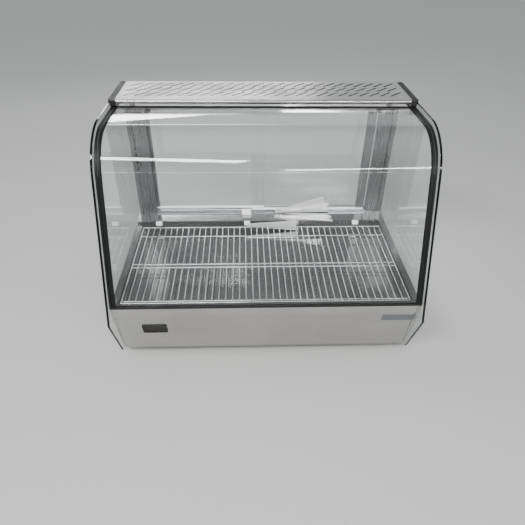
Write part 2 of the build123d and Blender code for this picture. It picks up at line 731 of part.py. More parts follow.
# ================================================================= rear controls
CONTROL_Z = 128.0
POWER_X = 330.0
LIGHT_X = 285.0
KNOB_X = 215.0
GLAND_X = -330.0
GLAND_Z = 70.0
SWITCH_BODY = (26.6, 19.4)
SWITCH_BEZEL = (31.0, 24.0)
SWITCH_BEZEL_THICK = 2.0
SWITCH_BEZEL_CORNER = 2.0
SWITCH_BODY_DEPTH = 24.0
SWITCH_WELL = (22.0, 16.0)
SWITCH_WELL_DEPTH = 13.0
SHAFT_RADIUS = 3.0
SHAFT_CLEARANCE = 0.05
SHAFT_HOLE_GAP = 1.0
SHAFT_END_GAP = 1.0
GLAND_SHANK = 8.0
REAR_VENT_COUNT = (4, 3)
REAR_VENT_PITCH = (80.0, 14.0)
REAR_VENT_X = -60.0

with BuildPart() as rear_panel:
    slab(-base_half, base_half, rear_inner, rear_panel_y, FOOT_HEIGHT, ledge_under)
    with BuildSketch(Plane.XZ.offset(-rear_panel_y)):
        with Locations((POWER_X, CONTROL_Z), (LIGHT_X, CONTROL_Z)):
            Rectangle(*SWITCH_BODY)
        with Locations((KNOB_X, CONTROL_Z)):
            Circle(SHAFT_RADIUS + SHAFT_HOLE_GAP)
        with Locations((GLAND_X, GLAND_Z)):
            Circle(GLAND_SHANK)
        with Locations((REAR_VENT_X, CONTROL_Z)):
            with GridLocations(*REAR_VENT_PITCH, *REAR_VENT_COUNT):
                Rectangle(*VENT_SLOT)
        with Locations(*screw_places):
            Circle(SCREW_HOLE)
    extrude(amount=SHEET, mode=Mode.SUBTRACT)
finish(rear_panel.part, "rear_control_panel")

with BuildPart() as panel_screws:
    with BuildSketch(Plane.XZ.offset(-rear_panel_y)):
        with Locations(*screw_places):
            Circle(SCREW_HEAD_RADIUS)
    extrude(amount=-SCREW_HEAD_HEIGHT)
    with BuildSketch(Plane.XZ.offset(-rear_panel_y)):
        with Locations(*screw_places):
            Circle(SCREW_HOLE)
    extrude(amount=REAR_SCREW_LENGTH)
finish(panel_screws.part, "rear_panel_screws")

# Rocker switches: a housing in the panel and a rocker on its own pin line.
ROCKER_PIVOT_DEPTH = 3.5
ROCKER_HUB = 5.0
ROCKER_WIDTH = 21.2
ROCKER_HALF_HEIGHT = 6.4
ROCKER_FACE = 5.6
ROCKER_DISH = 1.0
ROCKER_TILT = 8.0

pivot_y = rear_panel_y - ROCKER_PIVOT_DEPTH
bezel_y = rear_panel_y + SWITCH_BEZEL_THICK
for name, switch_x in (("power", POWER_X), ("light", LIGHT_X)):
    with BuildPart() as switch_housing:
        with BuildSketch(Plane.XZ.offset(-rear_panel_y)):
            with Locations((switch_x, CONTROL_Z)):
                RectangleRounded(*SWITCH_BEZEL, SWITCH_BEZEL_CORNER)
        extrude(amount=-SWITCH_BEZEL_THICK)
        with BuildSketch(Plane.XZ.offset(-rear_panel_y)):
            with Locations((switch_x, CONTROL_Z)):
                Rectangle(*SWITCH_BODY)
        extrude(amount=SWITCH_BODY_DEPTH)
        with BuildSketch(Plane.XZ.offset(-bezel_y)):
            with Locations((switch_x, CONTROL_Z)):
                Rectangle(*SWITCH_WELL)
        extrude(amount=SWITCH_WELL_DEPTH, mode=Mode.SUBTRACT)
    finish(switch_housing.part, f"{name}_switch_housing")
    with BuildPart() as rocker:
        with BuildSketch(Plane.YZ.offset(switch_x - ROCKER_WIDTH / 2)):
            with Locations((pivot_y, CONTROL_Z)):
                Circle(ROCKER_HUB)
                Polygon(
                    (0, -ROCKER_HALF_HEIGHT),
                    (ROCKER_FACE, -ROCKER_HALF_HEIGHT),
                    (ROCKER_FACE - ROCKER_DISH, 0),
                    (ROCKER_FACE, ROCKER_HALF_HEIGHT),
                    (0, ROCKER_HALF_HEIGHT),
                    align=None,
                )
        extrude(amount=ROCKER_WIDTH)
    pivot_axis = Axis((switch_x, pivot_y, CONTROL_Z), (1, 0, 0))
    finish(rocker.part.rotate(pivot_axis, -ROCKER_TILT), f"{name}_rocker")

# Thermostat: body behind the panel, knob and shaft in its bore.
THERMOSTAT_SIZE = 38.0
THERMOSTAT_DEPTH = 28.0
SHAFT_DEPTH = 16.0
KNOB_RADIUS = 17.0
KNOB_HEIGHT = 15.0
KNOB_GAP = 1.5
KNOB_TOP_TAPER = 6.0
KNOB_EDGE = 1.5
POINTER_WIDTH = 4.0
POINTER_RISE = 1.5
POINTER_REACH = 13.0
POINTER_ROOT = 1.0

with BuildPart() as thermostat_body:
    slab(
        KNOB_X - THERMOSTAT_SIZE / 2, KNOB_X + THERMOSTAT_SIZE / 2,
        rear_inner - THERMOSTAT_DEPTH, rear_inner,
        CONTROL_Z - THERMOSTAT_SIZE / 2, CONTROL_Z + THERMOSTAT_SIZE / 2,
    )
    with BuildSketch(Plane.XZ.offset(-rear_inner)):
        with Locations((KNOB_X, CONTROL_Z)):
            Circle(SHAFT_RADIUS + SHAFT_CLEARANCE)
    extrude(amount=SHAFT_DEPTH + SHAFT_END_GAP, mode=Mode.SUBTRACT)
finish(thermostat_body.part, "thermostat_body")

knob_base_y = rear_panel_y + KNOB_GAP
knob_face_y = knob_base_y + KNOB_HEIGHT
with BuildPart() as thermostat_knob:
    with BuildSketch(Plane.XZ.offset(-rear_inner + SHAFT_DEPTH)):
        with Locations((KNOB_X, CONTROL_Z)):
            Circle(SHAFT_RADIUS)
    extrude(amount=-(knob_base_y - rear_inner + SHAFT_DEPTH))
    with BuildSketch(Plane.XZ.offset(-knob_base_y)):
        with Locations((KNOB_X, CONTROL_Z)):
            Circle(KNOB_RADIUS)
    extrude(amount=-KNOB_HEIGHT, taper=KNOB_TOP_TAPER)
    chamfer(thermostat_knob.edges().group_by(Axis.Y)[-1], length=KNOB_EDGE)
    slab(
        KNOB_X - POINTER_WIDTH / 2, KNOB_X + POINTER_WIDTH / 2,
        knob_face_y - POINTER_ROOT, knob_face_y + POINTER_RISE, CONTROL_Z, CONTROL_Z + POINTER_REACH,
    )
finish(thermostat_knob.part, "thermostat_knob")

# Cable inlet and the terminal block behind it.
GLAND_FLANGE = 12.0
GLAND_BORE = 4.0
GLAND_NOSE = 10.0
GLAND_REACH = 14.0
GLAND_INSIDE = 8.0
TERMINAL_SIZE = (64.0, 20.0, 18.0)
TERMINAL_FROM_REAR = 57.8
TERMINAL_POCKET = (8.0, 10.0)
TERMINAL_PITCH = 20.0

with BuildPart() as cable_inlet:
    with BuildSketch(Plane.XZ.offset(-rear_panel_y)):
        with Locations((GLAND_X, GLAND_Z)):
            RegularPolygon(GLAND_FLANGE, 6)
    extrude(amount=-GLAND_REACH / 2)
    with BuildSketch(Plane.XZ.offset(-rear_panel_y)):
        with Locations((GLAND_X, GLAND_Z)):
            Circle(GLAND_NOSE)
    extrude(amount=-GLAND_REACH)
    with BuildSketch(Plane.XZ.offset(-rear_panel_y)):
        with Locations((GLAND_X, GLAND_Z)):
            Circle(GLAND_SHANK)
    extrude(amount=GLAND_INSIDE)
    with BuildSketch(Plane.XZ.offset(-rear_panel_y - GLAND_REACH)):
        with Locations((GLAND_X, GLAND_Z)):
            Circle(GLAND_BORE)
    extrude(amount=GLAND_REACH + GLAND_INSIDE, mode=Mode.SUBTRACT)
finish(cable_inlet.part, "cable_inlet")

terminal_y = rear_inner - TERMINAL_FROM_REAR
with BuildPart() as terminal_block:
    with Locations((GLAND_X, terminal_y, floor_top + TERMINAL_SIZE[2] / 2)):
        Box(*TERMINAL_SIZE)
    with BuildSketch(Plane.XY.offset(floor_top + TERMINAL_SIZE[2])):
        with Locations((GLAND_X, terminal_y)):
            with GridLocations(TERMINAL_PITCH, TERMINAL_PITCH, 3, 1):
                Rectangle(*TERMINAL_POCKET)
    extrude(amount=-TERMINAL_POCKET[1], mode=Mode.SUBTRACT)
finish(terminal_block.part, "terminal_block")

# ================================================================= display, badge
DISPLAY_BEZEL = (70.0, 39.0)
DISPLAY_WINDOW = (59.0, 28.0)
DISPLAY_THICK = 3.0
DISPLAY_CORNER = 3.0
DISPLAY_DEPTH = 26.0
DISPLAY_WALL = 1.6
LENS_THICK = 1.6
LENS_SEAT = 1.2
BADGE_FROM_SIDE = 55.0
BADGE_DOWN = 25.0
BADGE_SIZE = (96.0, 30.0)
BADGE_THICK = 0.4
BADGE_CORNER = 2.0

with BuildPart() as display_bezel:
    with BuildSketch(display_plane):
        RectangleRounded(*DISPLAY_BEZEL, DISPLAY_CORNER)
    extrude(amount=DISPLAY_THICK)
    with BuildSketch(display_plane):
        Rectangle(*DISPLAY_CUT)
    extrude(amount=-DISPLAY_DEPTH)
    with BuildSketch(display_plane.offset(DISPLAY_THICK)):
        Rectangle(*DISPLAY_WINDOW)
    extrude(amount=-(LENS_THICK + LENS_SEAT), mode=Mode.SUBTRACT)
    with BuildSketch(display_plane.offset(-DISPLAY_DEPTH)):
        Rectangle(DISPLAY_CUT[0] - 2 * DISPLAY_WALL, DISPLAY_CUT[1] - 2 * DISPLAY_WALL)
    extrude(amount=DISPLAY_DEPTH - DISPLAY_WALL, mode=Mode.SUBTRACT)
finish(display_bezel.part, "display_bezel")

lens_seat = display_plane.offset(DISPLAY_THICK - LENS_THICK - LENS_SEAT)
with BuildPart() as display_lens:
    with BuildSketch(lens_seat):
        Rectangle(*DISPLAY_WINDOW)
    extrude(amount=LENS_THICK)
finish(display_lens.part, "display_lens")

with BuildPart() as blank_badge:
    with BuildSketch(slant_plane(base_half - BADGE_FROM_SIDE, BADGE_DOWN)):
        RectangleRounded(*BADGE_SIZE, BADGE_CORNER)
    extrude(amount=BADGE_THICK)
finish(blank_badge.part, "blank_badge")

# ================================================================= shelf brackets
# Four loose arms of bent-edge sheet; each hooks into the slots of a post.
ARM_LENGTH = 172.0
ARM_ROOT = 38.0
ARM_TIP = 12.0
ARM_THICK = 2.0
ARM_LIP = 6.0
ARM_LIP_WIDTH = 4.0
HOOK_REACH = 7.0
HOOK_NECK = 3.6
HOOK_DROP = 5.0
HOOK_HEIGHT = 8.0
HOOK_TOP = 3.0


def bracket_arm(plane):
    """Bracket arm drawn from its root (origin) along +x of the given plane."""
    with BuildPart() as arm:
        with BuildSketch(plane):
            Polygon(
                (0, 0), (0, -ARM_ROOT), (ARM_LENGTH, -ARM_TIP), (ARM_LENGTH, ARM_LIP),
                (ARM_LENGTH - ARM_LIP_WIDTH, ARM_LIP), (ARM_LENGTH - ARM_LIP_WIDTH, 0),
                align=None,
            )
            for hook_y in (-HOOK_TOP, -HOOK_TOP - SLOT_PITCH):
                Polygon(
                    (0, hook_y), (-HOOK_REACH, hook_y),
                    (-HOOK_REACH, hook_y - HOOK_HEIGHT - HOOK_DROP),
                    (-HOOK_NECK, hook_y - HOOK_HEIGHT - HOOK_DROP),
                    (-HOOK_NECK, hook_y - HOOK_HEIGHT), (0, hook_y - HOOK_HEIGHT),
                    align=None,
                )
        extrude(amount=ARM_THICK)
    return arm.part


def leaning_plane(x, y, z, slope):
    """Upright plane for an arm that runs down towards -X at slope degrees."""
    run = Vector(-math.cos(math.radians(slope)), 0, -math.sin(math.radians(slope)))
    return Plane(origin=(x, y, z), x_dir=run, z_dir=(0, 1, 0))


# Where each loose arm's root lies: x, depth, height, and the slope it leans at.
ARM_SEAT_GAP = 0.3
FLAT_ARM_X = 238.0
FLAT_ARM_FROM_RISER = 30.6
LEANING_ARMS = (
    (228.0, track_front_y - 6.0, ledge + 40.5, 9.5),
    (210.0, track_front_y - 13.0, ledge + 67.0, 18.6),
    (118.0, well_rear_y - 11.0, well_floor + 41.1, 3.6),
)

flat_arm_origin = (FLAT_ARM_X, well_rear_y + FLAT_ARM_FROM_RISER, ledge + ARM_SEAT_GAP + ARM_THICK)
arm_planes = [Plane(origin=flat_arm_origin, x_dir=(-1, 0, 0), z_dir=(0, 0, -1))]
for arm_x, arm_y, arm_z, arm_slope in LEANING_ARMS:
    arm_planes.append(leaning_plane(arm_x, arm_y, arm_z, arm_slope))
for number, arm_plane in enumerate(arm_planes, start=1):
    finish(bracket_arm(arm_plane), f"shelf_bracket_{number}")
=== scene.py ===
import bpy
import bmesh
import math
from mathutils import Matrix, Vector


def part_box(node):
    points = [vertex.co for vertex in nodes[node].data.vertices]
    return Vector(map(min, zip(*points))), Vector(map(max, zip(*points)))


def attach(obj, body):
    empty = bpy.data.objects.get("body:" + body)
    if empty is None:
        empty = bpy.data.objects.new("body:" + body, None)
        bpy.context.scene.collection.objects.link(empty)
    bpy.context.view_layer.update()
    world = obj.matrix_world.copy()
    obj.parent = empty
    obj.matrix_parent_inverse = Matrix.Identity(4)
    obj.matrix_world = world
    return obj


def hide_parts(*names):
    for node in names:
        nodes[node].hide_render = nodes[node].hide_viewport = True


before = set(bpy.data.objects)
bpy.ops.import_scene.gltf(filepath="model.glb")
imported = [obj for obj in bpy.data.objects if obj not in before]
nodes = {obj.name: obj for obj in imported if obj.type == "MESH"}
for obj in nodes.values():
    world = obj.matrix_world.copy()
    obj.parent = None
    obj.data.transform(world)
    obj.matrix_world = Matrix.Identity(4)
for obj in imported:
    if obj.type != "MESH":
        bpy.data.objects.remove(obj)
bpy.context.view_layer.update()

# ------------------------------------------------------------------ camera
# A hand-held view from a little over standing-bench height, looking down on
# the front of the case, turned slightly to the right and rolled a degree.
camera_data = bpy.data.cameras.new("case_camera")
camera_data.sensor_width = 36.0
camera_data.lens = 482.39 * 36.0 / 525.0
camera_data.clip_start = 0.05
camera = bpy.data.objects.new("case_camera", camera_data)
bpy.context.scene.collection.objects.link(camera)
pitch, yaw, roll = 0.633, 0.0435, 0.016
look = Vector((math.sin(yaw) * math.cos(pitch), math.cos(yaw) * math.cos(pitch), -math.sin(pitch)))
level = Vector((math.cos(yaw), -math.sin(yaw), 0.0))
upward = level.cross(look)
right = math.cos(roll) * level + math.sin(roll) * upward
top = -math.sin(roll) * level + math.cos(roll) * upward
turn = Matrix((right, top, -look)).transposed().to_4x4()
camera.matrix_world = Matrix.Translation((-0.0590, -1.25385, 1.11293)) @ turn
bpy.context.scene.camera = camera

# ------------------------------------------------------------------ floor and light
# A plain pale floor under a soft grey studio, with long narrow strip lights
# whose reflections run as thin lines across the bent glass and the steel.
floor_mesh = bpy.data.meshes.new("floor")
floor_mesh.from_pydata([(-9, -9, 0), (9, -9, 0), (9, 9, 0), (-9, 9, 0)], [], [(0, 1, 2, 3)])
floor = bpy.data.objects.new("floor", floor_mesh)
bpy.context.scene.collection.objects.link(floor)
floor_paint = bpy.data.materials.new("floor_paint")
floor_paint.use_nodes = True
floor_shader = floor_paint.node_tree.nodes["Principled BSDF"]
floor_shader.inputs["Base Color"].default_value = (0.60, 0.60, 0.59, 1)
floor_shader.inputs["Roughness"].default_value = 0.75
floor_mesh.materials.append(floor_paint)

studio = bpy.data.worlds.new("studio")
studio.use_nodes = True
backdrop = studio.node_tree.nodes["Background"]
backdrop.inputs["Strength"].default_value = 0.95
heading = studio.node_tree.nodes.new("ShaderNodeTexCoord")
upness = studio.node_tree.nodes.new("ShaderNodeSeparateXYZ")
fade = studio.node_tree.nodes.new("ShaderNodeValToRGB")
SKY_STOPS = ((0.0, 0.66), (0.38, 0.64), (0.56, 0.24), (0.78, 0.40), (1.0, 0.90))
for number, (height, shade) in enumerate(SKY_STOPS):
    stop = fade.color_ramp.elements[number] if number < 2 else fade.color_ramp.elements.new(height)
    stop.position = height
    stop.color = (shade * 0.98, shade, shade * 1.02, 1)
studio.node_tree.links.new(heading.outputs["Generated"], upness.inputs["Vector"])
studio.node_tree.links.new(upness.outputs["Z"], fade.inputs["Fac"])
studio.node_tree.links.new(fade.outputs["Color"], backdrop.inputs["Color"])
bpy.context.scene.world = studio
bpy.context.scene.view_settings.look = "AgX - Medium High Contrast"


def soft_box(name, place, aim, wide, deep, watts):
    """Rectangular area light at place, facing aim."""
    data = bpy.data.lights.new(name, "AREA")
    data.shape = "RECTANGLE"
    data.size = wide
    data.size_y = deep
    data.energy = watts
    lamp = bpy.data.objects.new(name, data)
    bpy.context.scene.collection.objects.link(lamp)
    lamp.location = place
    lamp.rotation_euler = (Vector(aim) - Vector(place)).to_track_quat("-Z", "Y").to_euler()
    return lamp


soft_box("upper_strip", (-1.1, -1.9, 2.7), (0, 0, 0.3), 2.4, 0.30, 62)
soft_box("right_strip", (1.5, -2.9, 1.9), (0, 0, 0.3), 2.6, 0.14, 34)
soft_box("low_strip", (-0.4, -3.2, 1.45), (0, 0, 0.5), 3.6, 0.03, 3)
soft_box("rear_strip", (-0.7, 2.6, 1.54), (0, 0.07, 0.66), 2.6, 0.13, 8)


# ------------------------------------------------------------------ front glass
# One 5 mm toughened sheet, bent once from the leaning front into the roof.
# It is drawn along the bend and has ground edges.
LEAN = math.radians(17.5)
KINK = 0.186
BEND = 0.140
CASE_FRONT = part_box("left_side_pane")[0][1]
PANE_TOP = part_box("left_side_pane")[1][2]


def bend_line(inset, low, end_y, steps=40):
    """Front line of the case set in by inset: leaning run, bend, flat roof run."""
    roof = PANE_TOP - inset
    radius = BEND - inset
    start_y = CASE_FRONT + inset / math.cos(LEAN)
    reach = radius * math.tan((math.pi / 2 - LEAN) / 2)
    centre = Vector((start_y + (roof - KINK) * math.tan(LEAN) + reach, roof - radius))
    points = [Vector((start_y + (low - KINK) * math.tan(LEAN), low))]
    for step in range(steps + 1):
        angle = math.pi - LEAN - (math.pi / 2 - LEAN) * step / steps
        points.append(centre + radius * Vector((math.cos(angle), math.sin(angle))))
    points.append(Vector((end_y, roof)))
    return points


def finished_mesh(name, points, faces, material, smooth_angle=35.0):
    """Piece at the origin from points and faces, smoothed up to an angle."""
    mesh = bpy.data.meshes.new(name)
    mesh.from_pydata([tuple(point) for point in points], [], faces)
    made = bmesh.new()
    made.from_mesh(mesh)
    bmesh.ops.remove_doubles(made, verts=made.verts, dist=1e-6)
    bmesh.ops.recalc_face_normals(made, faces=made.faces)
    made.to_mesh(mesh)
    made.free()
    mesh.shade_smooth()
    mesh.set_sharp_from_angle(angle=math.radians(smooth_angle))
    mesh.materials.append(material)
    piece = bpy.data.objects.new(name, mesh)
    bpy.context.scene.collection.objects.link(piece)
    return piece


def bent_along_front(name, section, low, end_y, material):
    """Closed (x, inset) section carried along the bend line, with both ends closed."""
    lines = [bend_line(inset, low, end_y) for _, inset in section]
    length = len(lines[0])
    points = [(x, y, z) for (x, _), line in zip(section, lines) for y, z in line]
    rows = len(section)
    faces = []
    for row in range(rows):
        after = (row + 1) % rows
        for step in range(length - 1):
            faces.append(
                (row * length + step, row * length + step + 1,
                 after * length + step + 1, after * length + step)
            )
    faces.append([row * length for row in range(rows)])
    faces.append([row * length + length - 1 for row in reversed(range(rows))])
    return finished_mesh(name, points, faces, material)


def ease_edges(piece, width, segments=2, angle=40.0):
    """Small rounded arris on the sharp edges of a piece."""
    arris = piece.modifiers.new("arris", "BEVEL")
    arris.width = width
    arris.segments = segments
    arris.limit_method = "ANGLE"
    arris.angle_limit = math.radians(angle)
    return arris


def wire_up(tree, *pairs):
    """Connects (from node, output, to node, input) in a node tree."""
    for source, output, target, socket in pairs:
        tree.links.new(source.outputs[output], target.inputs[socket])


def shader_tree(name):
    """New material with its node tree, its Principled shader and its coordinates."""
    material = bpy.data.materials.new(name)
    material.use_nodes = True
    tree = material.node_tree
    place = tree.nodes.new("ShaderNodeTexCoord")
    return material, tree, tree.nodes["Principled BSDF"], place


def noise_node(tree, place, stretch, scale, detail=4.0):
    """Noise on the piece's own coordinates, stretched by a factor on each axis."""
    scaled = tree.nodes.new("ShaderNodeMapping")
    scaled.inputs["Scale"].default_value = stretch
    noise = tree.nodes.new("ShaderNodeTexNoise")
    noise.inputs["Scale"].default_value = scale
    noise.inputs["Detail"].default_value = detail
    wire_up(tree, (place, "Object", scaled, "Vector"), (scaled, "Vector", noise, "Vector"))
    return noise


def ranged(tree, source, output, low, high, to_low, to_high):
    """Map Range node fed by a source socket."""
    node = tree.nodes.new("ShaderNodeMapRange")
    for socket, value in zip(("From Min", "From Max", "To Min", "To Max"), (low, high, to_low, to_high)):
        node.inputs[socket].default_value = value
    tree.links.new(source.outputs[output], node.inputs["Value"])
    return node


def clear_glass(name, tint, edge_tint, axis, edge_low, edge_high):
    """Toughened glass: clear faces with faint wiping marks, green and satin at the cut edge."""
    material, tree, clear, place = shader_tree(name)
    clear.inputs["Transmission Weight"].default_value = 1.0
    clear.inputs["IOR"].default_value = 1.5
    split = tree.nodes.new("ShaderNodeSeparateXYZ")
    facing = tree.nodes.new("ShaderNodeMath")
    facing.operation = "ABSOLUTE"
    wire_up(tree, (place, "Normal", split, "Vector"), (split, axis, facing, 0))
    edge = ranged(tree, facing, "Value", 0.6, 0.95, edge_low, edge_high)
    colour = tree.nodes.new("ShaderNodeMix")
    colour.data_type = "RGBA"
    colour.inputs[6].default_value = (*tint, 1)
    colour.inputs[7].default_value = (*edge_tint, 1)
    smear = noise_node(tree, place, (1, 1, 0.4), 9.0, 6.0)
    marks = ranged(tree, smear, "Fac", 0.52, 0.8, 0.0, 0.05)
    satin = tree.nodes.new("ShaderNodeMath")
    satin.operation = "MULTIPLY_ADD"
    satin.inputs[1].default_value = 0.10
    wire_up(
        tree,
        (edge, "Result", colour, 0), (colour, 2, clear, "Base Color"),
        (edge, "Result", satin, 0), (marks, "Result", satin, 2),
        (satin, "Value", clear, "Roughness"),
    )
    passed = tree.nodes.new("ShaderNodeBsdfTransparent")
    passed.inputs["Color"].default_value = (*[0.5 + 0.5 * part for part in tint], 1)
    path = tree.nodes.new("ShaderNodeLightPath")
    either = tree.nodes.new("ShaderNodeMixShader")
    wire_up(
        tree,
        (path, "Is Shadow Ray", either, "Fac"), (clear, "BSDF", either, 1),
        (passed, "BSDF", either, 2), (either, "Shader", tree.nodes["Material Output"], "Surface"),
    )
    return material


front_low, front_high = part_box("curved_front_glass")
FRONT_INSET = 0.014
FRONT_THICK = 0.005
front_clear = clear_glass("front_glass_clear", (0.985, 0.996, 0.99), (0.40, 0.60, 0.52), "X", 0.0, 1.0)
front_glass = bent_along_front(
    "front_glass",
    [
        (front_low[0], FRONT_INSET), (front_high[0], FRONT_INSET),
        (front_high[0], FRONT_INSET + FRONT_THICK), (front_low[0], FRONT_INSET + FRONT_THICK),
    ],
    front_low[2], front_high[1], front_clear,
)
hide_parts("curved_front_glass")
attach(front_glass, "case")

# ------------------------------------------------------------------ side panes
# Flat 6 mm toughened panes cut to the whole side profile, base included.
# The polished, rounded arris shows the green of the glass as a pale line.
PANE_FOOT_Y = -0.216
PANE_CORNER = 0.004


def rounded_corner(before, corner, after, radius, steps=6):
    """Points of an arc of radius that rounds one corner of an outline."""
    before, corner, after = Vector(before), Vector(corner), Vector(after)
    to_before = (before - corner).normalized()
    to_after = (after - corner).normalized()
    half = to_before.angle(to_after) / 2
    centre = corner + (to_before + to_after).normalized() * radius / math.sin(half)
    start = corner + to_before * radius / math.tan(half) - centre
    end = corner + to_after * radius / math.tan(half) - centre
    return [
        centre + start.lerp(end, step / steps).normalized() * radius for step in range(steps + 1)
    ]


def drawn_across(name, outline, x_low, x_high, material, smooth_angle=35.0):
    """Closed (y, z) outline drawn from x_low to x_high, with both ends closed."""
    count = len(outline)
    points = [(x, y, z) for x in (x_low, x_high) for y, z in outline]
    faces = [
        (index, (index + 1) % count, count + (index + 1) % count, count + index)
        for index in range(count)
    ]
    faces += [list(range(count)), list(range(2 * count - 1, count - 1, -1))]
    return finished_mesh(name, points, faces, material, smooth_angle)


pane_clear = clear_glass("side_pane_clear", (0.955, 0.985, 0.97), (0.30, 0.56, 0.44), "X", 1.0, 0.0)
for side in ("left", "right"):
    pane_low, pane_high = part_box(f"{side}_side_pane")
    kink = (CASE_FRONT, KINK)
    foot = (PANE_FOOT_Y, pane_low[2])
    heel = (pane_high[1], pane_low[2])
    crown = (pane_high[1], PANE_TOP)
    outline = [
        *rounded_corner(kink, foot, heel, PANE_CORNER),
        *rounded_corner(foot, heel, crown, PANE_CORNER),
        *reversed(bend_line(0.0, KINK, pane_high[1])),
    ]
    pane = drawn_across(f"{side}_pane", outline, pane_low[0], pane_high[0], pane_clear)
    ease_edges(pane, 0.0009)
    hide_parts(f"{side}_side_pane")
    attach(pane, "case")

# ------------------------------------------------------------------ side seals
# Black extruded rubber channels pushed over the side edges of the front glass.
# Each has two rounded beads with a shallow groove that holds a line of dust.
def moulded(name, colour, rough, grain_scale, grain_depth, dust=None, dust_share=0.0):
    """Moulded rubber or plastic: fine grain in the surface, patches of wear or dust."""
    material, tree, shader, place = shader_tree(name)
    patches = noise_node(tree, place, (1, 1, 1), 38.0, 6.0)
    blend = tree.nodes.new("ShaderNodeMix")
    blend.data_type = "RGBA"
    blend.inputs[6].default_value = (*colour, 1)
    blend.inputs[7].default_value = (*(dust or [min(1.0, part * 1.35 + 0.01) for part in colour]), 1)
    share = ranged(tree, patches, "Fac", 0.45, 0.8, 0.0, max(dust_share, 0.25))
    worn = ranged(tree, patches, "Fac", 0.3, 0.75, rough - 0.06, rough + 0.08)
    grain = noise_node(tree, place, (1, 1, 1), grain_scale, 2.0)
    raised = tree.nodes.new("ShaderNodeBump")
    raised.inputs["Strength"].default_value = 0.35
    raised.inputs["Distance"].default_value = grain_depth
    wire_up(
        tree,
        (share, "Result", blend, 0), (blend, 2, shader, "Base Color"),
        (worn, "Result", shader, "Roughness"),
        (grain, "Fac", raised, "Height"), (raised, "Normal", shader, "Normal"),
    )
    return material


GROOVE_SIDES = (0.0063, 0.0087)
END_FACE_AREA = 5e-5
black_rubber = moulded(
    "black_rubber", (0.007, 0.007, 0.008), 0.46, 900.0, 0.0002, (0.022, 0.022, 0.022), 0.3
)
dusty_groove = moulded("dusty_groove", (0.085, 0.087, 0.088), 0.70, 900.0, 0.0002, (0.14, 0.14, 0.14), 0.5)
for side, sign in (("left", -1), ("right", 1)):
    seal_low, seal_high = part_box(f"{side}_side_seal")
    far, near = (seal_low[0], seal_high[0]) if sign < 0 else (seal_high[0], seal_low[0])
    bite = front_low[0] if sign < 0 else front_high[0]
    back, front, floor_of_slot = 0.010, 0.023, FRONT_INSET + FRONT_THICK
    section = [
        (far, back + 0.0015), (far - sign * 0.0010, back + 0.0004), (far - sign * 0.0030, back),
        (far - sign * 0.0056, back + 0.0004), (far - sign * 0.0066, back + 0.0018),
        (far - sign * 0.0084, back + 0.0018), (far - sign * 0.0094, back + 0.0004),
        (near + sign * 0.0030, back), (near + sign * 0.0010, back + 0.0004),
        (near, back + 0.0015), (near, FRONT_INSET), (bite, FRONT_INSET),
        (bite, floor_of_slot), (near, floor_of_slot), (near, front - 0.001),
        (near + sign * 0.001, front), (far, front),
    ]
    seal = bent_along_front(f"{side}_seal", section, seal_low[2], seal_high[1], black_rubber)
    seal.data.materials.append(dusty_groove)
    groove_x = sorted(far - sign * side for side in GROOVE_SIDES)
    for face in seal.data.polygons:
        in_groove = groove_x[0] < face.center.x < groove_x[1]
        face.material_index = int(in_groove and face.area < END_FACE_AREA)
    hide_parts(f"{side}_side_seal")
    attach(seal, "case")


# ------------------------------------------------------------------ rubber pieces
# Sill gasket under the glass, gasket under the trim, pads behind the side
# panes, door stops and feet: black rubber, cut or moulded, as they were fitted.
def dress(material, *names, arris=0.0):
    """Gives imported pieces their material, and rounded arrises where asked."""
    for name in names:
        piece = nodes[name]
        piece.data.materials.clear()
        piece.data.materials.append(material)
        if arris:
            joined = piece.modifiers.new("joined", "WELD")
            joined.merge_threshold = 1e-6
            ease_edges(piece, arris)


sill_rubber = moulded("sill_rubber", (0.014, 0.014, 0.015), 0.42, 900.0, 0.0002, (0.05, 0.05, 0.05), 0.4)
dress(sill_rubber, "sill_gasket")
dress(black_rubber, "top_glass_gasket", "side_pane_pads", "door_stops", "rubber_feet")

# ------------------------------------------------------------------ canopy trim
# Mirror-polished stainless moulding across the head of the front glass, with a
# rolled hollow and a moulded cap at each end. Black bands on its own faces are
# painted shadow: one along the gap behind it and one under its lower edge.
def polished(name, colour, rough, wave=0.00025, scratches=0.05):
    """Mirror-polished stainless: slow waviness of thin sheet, wiping haze, fine scratches."""
    material, tree, shader, place = shader_tree(name)
    shader.inputs["Metallic"].default_value = 1.0
    haze = noise_node(tree, place, (1, 1, 1), 6.0, 6.0)
    scratch = noise_node(tree, place, (4, 220, 220), 1.0, 3.0)
    hazed = ranged(tree, haze, "Fac", 0.4, 0.75, rough, rough + 0.07)
    scratched = ranged(tree, scratch, "Fac", 0.62, 0.78, 0.0, scratches)
    total = tree.nodes.new("ShaderNodeMath")
    total.operation = "ADD"
    tone = tree.nodes.new("ShaderNodeMix")
    tone.data_type = "RGBA"
    tone.inputs[6].default_value = (*colour, 1)
    tone.inputs[7].default_value = (*[part * 0.86 for part in colour], 1)
    toned = ranged(tree, haze, "Fac", 0.35, 0.8, 0.0, 1.0)
    slow = noise_node(tree, place, (1, 1, 1), 3.2, 1.0)
    waviness = tree.nodes.new("ShaderNodeBump")
    waviness.inputs["Strength"].default_value = 1.0
    waviness.inputs["Distance"].default_value = wave
    wire_up(
        tree,
        (hazed, "Result", total, 0), (scratched, "Result", total, 1),
        (total, "Value", shader, "Roughness"),
        (toned, "Result", tone, 0), (tone, 2, shader, "Base Color"),
        (slow, "Fac", waviness, "Height"), (waviness, "Normal", shader, "Normal"),
    )
    return material


